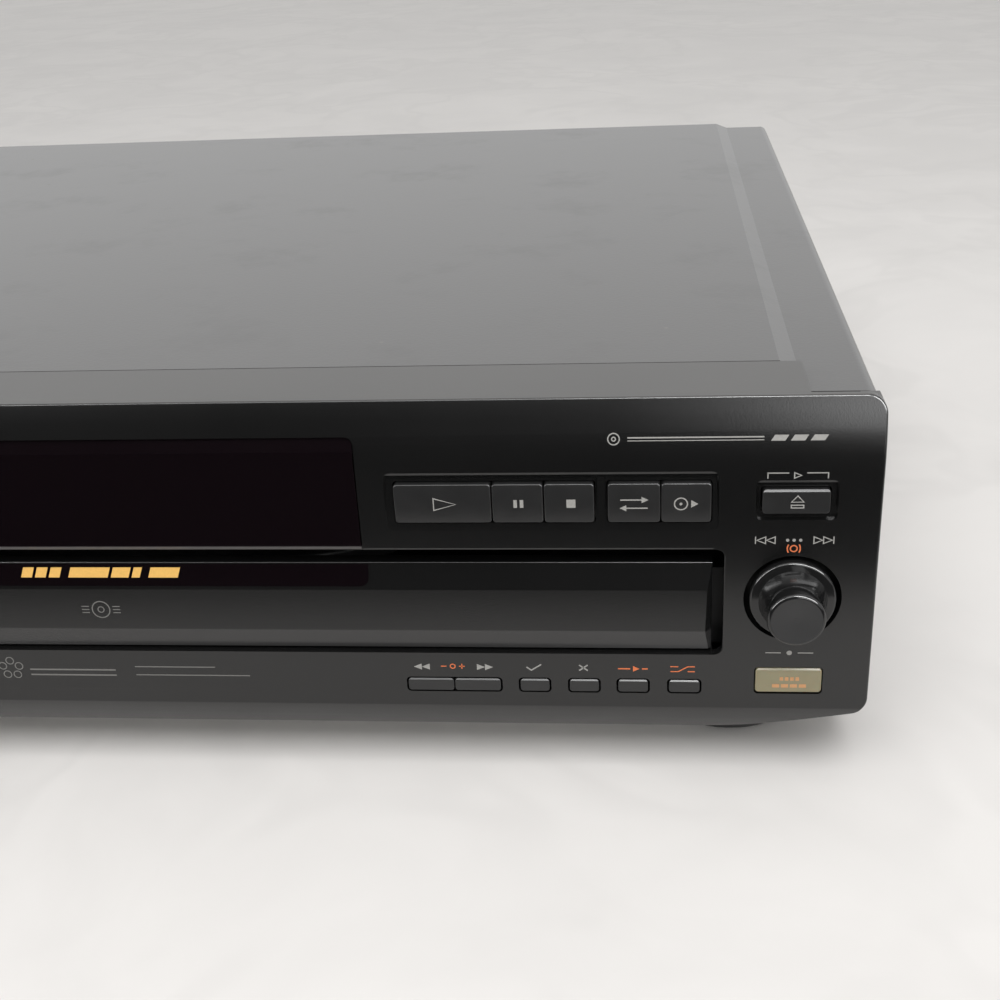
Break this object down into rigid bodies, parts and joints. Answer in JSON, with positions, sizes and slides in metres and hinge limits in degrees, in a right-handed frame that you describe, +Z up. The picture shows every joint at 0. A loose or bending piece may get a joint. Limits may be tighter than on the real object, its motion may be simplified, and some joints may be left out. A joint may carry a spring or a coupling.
{
  "type": "disc changer",
  "caption": "Wide low disc player: metal case, black front with dark window, keys and jog knob, and a motor drawer that slides out with a turning carousel.",
  "frame": {"origin": "middle of the footprint on the surface it stands on", "axes": "+Z up, +X to the right seen from the front, +Y from the front panel to the rear panel"},
  "size_m": [0.43, 0.385, 0.115],
  "materials": {
    "black_plastic": "fine satin texture",
    "key_plastic": "semi gloss",
    "window_plastic": "polished, dark smoke",
    "cover_paint": "satin black paint",
    "lit_plastic": "translucent ivory",
    "steel_sheet": "plain sheet",
    "machined_steel": "ground",
    "screw_metal": "black",
    "foot_plastic": "moulded",
    "rubber_pad": "soft",
    "belt_rubber": "ground",
    "board_laminate": "circuit laminate",
    "component_black": "moulded",
    "tube_glass": "smoked glass",
    "mechanism_black": "moulded",
    "mechanism_grey": "moulded",
    "gear_white": "acetal",
    "motor_can": "plated can",
    "transformer_iron": "varnished laminations",
    "jack_metal": "plated",
    "optics": "cast"
  },
  "bodies": {
    "cabinet": {"board_components": "component_black", "case_screws": "screw_metal", "chassis_base": "steel_sheet", "clamp_bridge": "steel_sheet", "cord_gland": "foot_plastic", "display_window": "window_plastic", "feet": "foot_plastic", "fluorescent_display": "tube_glass", "foot_pads": "rubber_pad", "front_boards": "board_laminate", "front_panel": "black_plastic", "headphone_jack": "component_black", "line_out_jacks": "component_black", "loading_belt": "belt_rubber", "loading_motor": "motor_can", "main_board": "board_laminate", "mechanism_frame": "mechanism_grey", "optical_out": "component_black", "power_transformer": "transformer_iron", "rear_panel": "cover_paint", "top_cover": "cover_paint", "tray_rails": "mechanism_grey"},
    "play_button": {"play_button": "key_plastic"},
    "pause_button": {"pause_button": "key_plastic"},
    "stop_button": {"stop_button": "key_plastic"},
    "exchange_button": {"exchange_button": "key_plastic"},
    "disc_skip_button": {"disc_skip_button": "key_plastic"},
    "program_button": {"program_button": "key_plastic"},
    "shuffle_button": {"shuffle_button": "key_plastic"},
    "continue_button": {"continue_button": "key_plastic"},
    "search_back_button": {"search_back_button": "key_plastic"},
    "search_forward_button": {"search_forward_button": "key_plastic"},
    "check_button": {"check_button": "key_plastic"},
    "clear_button": {"clear_button": "key_plastic"},
    "delay_button": {"delay_button": "key_plastic"},
    "fade_button": {"fade_button": "key_plastic"},
    "open_close_button": {"open_close_button": "key_plastic"},
    "power_button": {"power_button": "key_plastic"},
    "lit_button": {"lit_button": "lit_plastic"},
    "jog_shaft": {"jog_shaft": "machined_steel"},
    "jog_knob": {"jog_knob": "key_plastic"},
    "level_knob": {"level_knob": "key_plastic"},
    "drawer": {"tray": "mechanism_black", "tray_door": "black_plastic", "carousel_motor": "motor_can", "carousel_belt": "belt_rubber"},
    "carousel": {"carousel": "mechanism_black"},
    "carousel_gear": {"carousel_gear": "gear_white"},
    "carousel_motor_pulley": {"carousel_motor_pulley": "gear_white"},
    "loading_gear": {"loading_gear": "gear_white"},
    "loading_motor_pulley": {"loading_motor_pulley": "gear_white"},
    "pickup": {"pickup_base": "optics", "guide_rod": "machined_steel", "spindle_motor": "motor_can"},
    "turntable": {"turntable": "mechanism_black"},
    "sled": {"pickup_sled": "optics"},
    "sled_gear": {"sled_gear": "gear_white"},
    "cam_slider": {"cam_slider": "gear_white"},
    "cam_gear": {"cam_gear": "gear_white"},
    "clamper": {"disc_clamper": "mechanism_black"}
  },
  "joints": [
    {"name": "play_press", "type": "slide", "parent": "cabinet", "child": "play_button", "axis": [0, 1, 0], "range_m": [0, 0.001], "stiffness_N_per_m": 300},
    {"name": "pause_press", "type": "slide", "parent": "cabinet", "child": "pause_button", "axis": [0, 1, 0], "range_m": [0, 0.001], "stiffness_N_per_m": 300},
    {"name": "stop_press", "type": "slide", "parent": "cabinet", "child": "stop_button", "axis": [0, 1, 0], "range_m": [0, 0.001], "stiffness_N_per_m": 300},
    {"name": "exchange_press", "type": "slide", "parent": "cabinet", "child": "exchange_button", "axis": [0, 1, 0], "range_m": [0, 0.001], "stiffness_N_per_m": 300},
    {"name": "disc_skip_press", "type": "slide", "parent": "cabinet", "child": "disc_skip_button", "axis": [0, 1, 0], "range_m": [0, 0.001], "stiffness_N_per_m": 300},
    {"name": "program_press", "type": "slide", "parent": "cabinet", "child": "program_button", "axis": [0, 1, 0], "range_m": [0, 0.001], "stiffness_N_per_m": 300},
    {"name": "shuffle_press", "type": "slide", "parent": "cabinet", "child": "shuffle_button", "axis": [0, 1, 0], "range_m": [0, 0.001], "stiffness_N_per_m": 300},
    {"name": "continue_press", "type": "slide", "parent": "cabinet", "child": "continue_button", "axis": [0, 1, 0], "range_m": [0, 0.001], "stiffness_N_per_m": 300},
    {"name": "search_back_press", "type": "slide", "parent": "cabinet", "child": "search_back_button", "axis": [0, 1, 0], "range_m": [0, 0.001], "stiffness_N_per_m": 300},
    {"name": "search_forward_press", "type": "slide", "parent": "cabinet", "child": "search_forward_button", "axis": [0, 1, 0], "range_m": [0, 0.001], "stiffness_N_per_m": 300},
    {"name": "check_press", "type": "slide", "parent": "cabinet", "child": "check_button", "axis": [0, 1, 0], "range_m": [0, 0.001], "stiffness_N_per_m": 300},
    {"name": "clear_press", "type": "slide", "parent": "cabinet", "child": "clear_button", "axis": [0, 1, 0], "range_m": [0, 0.001], "stiffness_N_per_m": 300},
    {"name": "delay_press", "type": "slide", "parent": "cabinet", "child": "delay_button", "axis": [0, 1, 0], "range_m": [0, 0.001], "stiffness_N_per_m": 300},
    {"name": "fade_press", "type": "slide", "parent": "cabinet", "child": "fade_button", "axis": [0, 1, 0], "range_m": [0, 0.001], "stiffness_N_per_m": 300},
    {"name": "open_close_press", "type": "slide", "parent": "cabinet", "child": "open_close_button", "axis": [0, 1, 0], "range_m": [0, 0.001], "stiffness_N_per_m": 300},
    {"name": "power_press", "type": "slide", "parent": "cabinet", "child": "power_button", "axis": [0, 1, 0], "range_m": [0, 0.001], "stiffness_N_per_m": 300},
    {"name": "lit_press", "type": "slide", "parent": "cabinet", "child": "lit_button", "axis": [0, 1, 0], "range_m": [0, 0.001], "stiffness_N_per_m": 300},
    {"name": "jog_push", "type": "slide", "parent": "cabinet", "child": "jog_shaft", "axis": [0, 1, 0], "range_m": [0, 0.001], "stiffness_N_per_m": 400},
    {"name": "jog_turn", "type": "hinge", "parent": "jog_shaft", "child": "jog_knob", "pos_m": [0.193, -0.1805, 0.0576], "axis": [0, 1, 0], "continuous": true},
    {"name": "level_turn", "type": "hinge", "parent": "cabinet", "child": "level_knob", "pos_m": [-0.193, -0.1805, 0.0576], "axis": [0, 1, 0], "range_deg": [0, 300]},
    {"name": "drawer_slide", "type": "slide", "parent": "cabinet", "child": "drawer", "axis": [0, -1, 0], "range_m": [0, 0.225]},
    {"name": "carousel_turn", "type": "hinge", "parent": "drawer", "child": "carousel", "pos_m": [0, -0.006, 0.055], "axis": [0, 0, 1], "continuous": true},
    {"name": "carousel_gear_turn", "type": "hinge", "parent": "drawer", "child": "carousel_gear", "pos_m": [-0.07212, -0.006, 0.05], "axis": [0, 0, 1], "continuous": true},
    {"name": "carousel_motor_turn", "type": "hinge", "parent": "drawer", "child": "carousel_motor_pulley", "pos_m": [-0.112, -0.006, 0.045], "axis": [0, 0, 1], "continuous": true},
    {"name": "loading_gear_turn", "type": "hinge", "parent": "cabinet", "child": "loading_gear", "pos_m": [-0.13888, -0.145, 0.036], "axis": [0, 0, 1], "range_deg": [-1, 1075.3]},
    {"name": "loading_motor_turn", "type": "hinge", "parent": "cabinet", "child": "loading_motor_pulley", "pos_m": [-0.092, -0.145, 0.03], "axis": [0, 0, 1], "range_deg": [-4, 4301.18]},
    {"name": "pickup_lift", "type": "hinge", "parent": "cabinet", "child": "pickup", "pos_m": [0, 0.17, 0.046], "axis": [-1, 0, 0], "range_deg": [0, 7]},
    {"name": "spindle_turn", "type": "hinge", "parent": "pickup", "child": "turntable", "pos_m": [0, 0.09646, 0.041], "axis": [0, -0.1219, 0.9925], "continuous": true},
    {"name": "sled_slide", "type": "slide", "parent": "pickup", "child": "sled", "axis": [0, 0.9925, 0.1219], "range_m": [0, 0.033]},
    {"name": "sled_gear_turn", "type": "hinge", "parent": "pickup", "child": "sled_gear", "pos_m": [-0.02512, 0.13825, 0.04613], "axis": [0, -0.1219, 0.9925], "range_deg": [-1, 237.34]},
    {"name": "cam_slide", "type": "slide", "parent": "cabinet", "child": "cam_slider", "axis": [-1, 0, 0], "range_m": [0, 0.028]},
    {"name": "cam_gear_turn", "type": "hinge", "parent": "cabinet", "child": "cam_gear", "pos_m": [0.02, 0.04588, 0.024], "axis": [0, 0, 1], "range_deg": [-1, 161.43]},
    {"name": "clamper_turn", "type": "hinge", "parent": "cabinet", "child": "clamper", "pos_m": [0, 0.0964, 0.066], "axis": [0, 0, 1], "continuous": true}
  ],
  "couplings": [
    {"joint": "loading_gear_turn", "follows": "drawer_slide", "rad_per_m": 83.333},
    {"joint": "loading_motor_turn", "follows": "drawer_slide", "rad_per_m": 333.33},
    {"joint": "carousel_gear_turn", "follows": "carousel_turn", "ratio": -5},
    {"joint": "carousel_motor_turn", "follows": "carousel_turn", "ratio": -15},
    {"joint": "sled_gear_turn", "follows": "sled_slide", "rad_per_m": 125},
    {"joint": "cam_slide", "follows": "pickup_lift", "m_per_rad": 0.22918},
    {"joint": "cam_gear_turn", "follows": "pickup_lift", "ratio": 22.918}
  ]
}
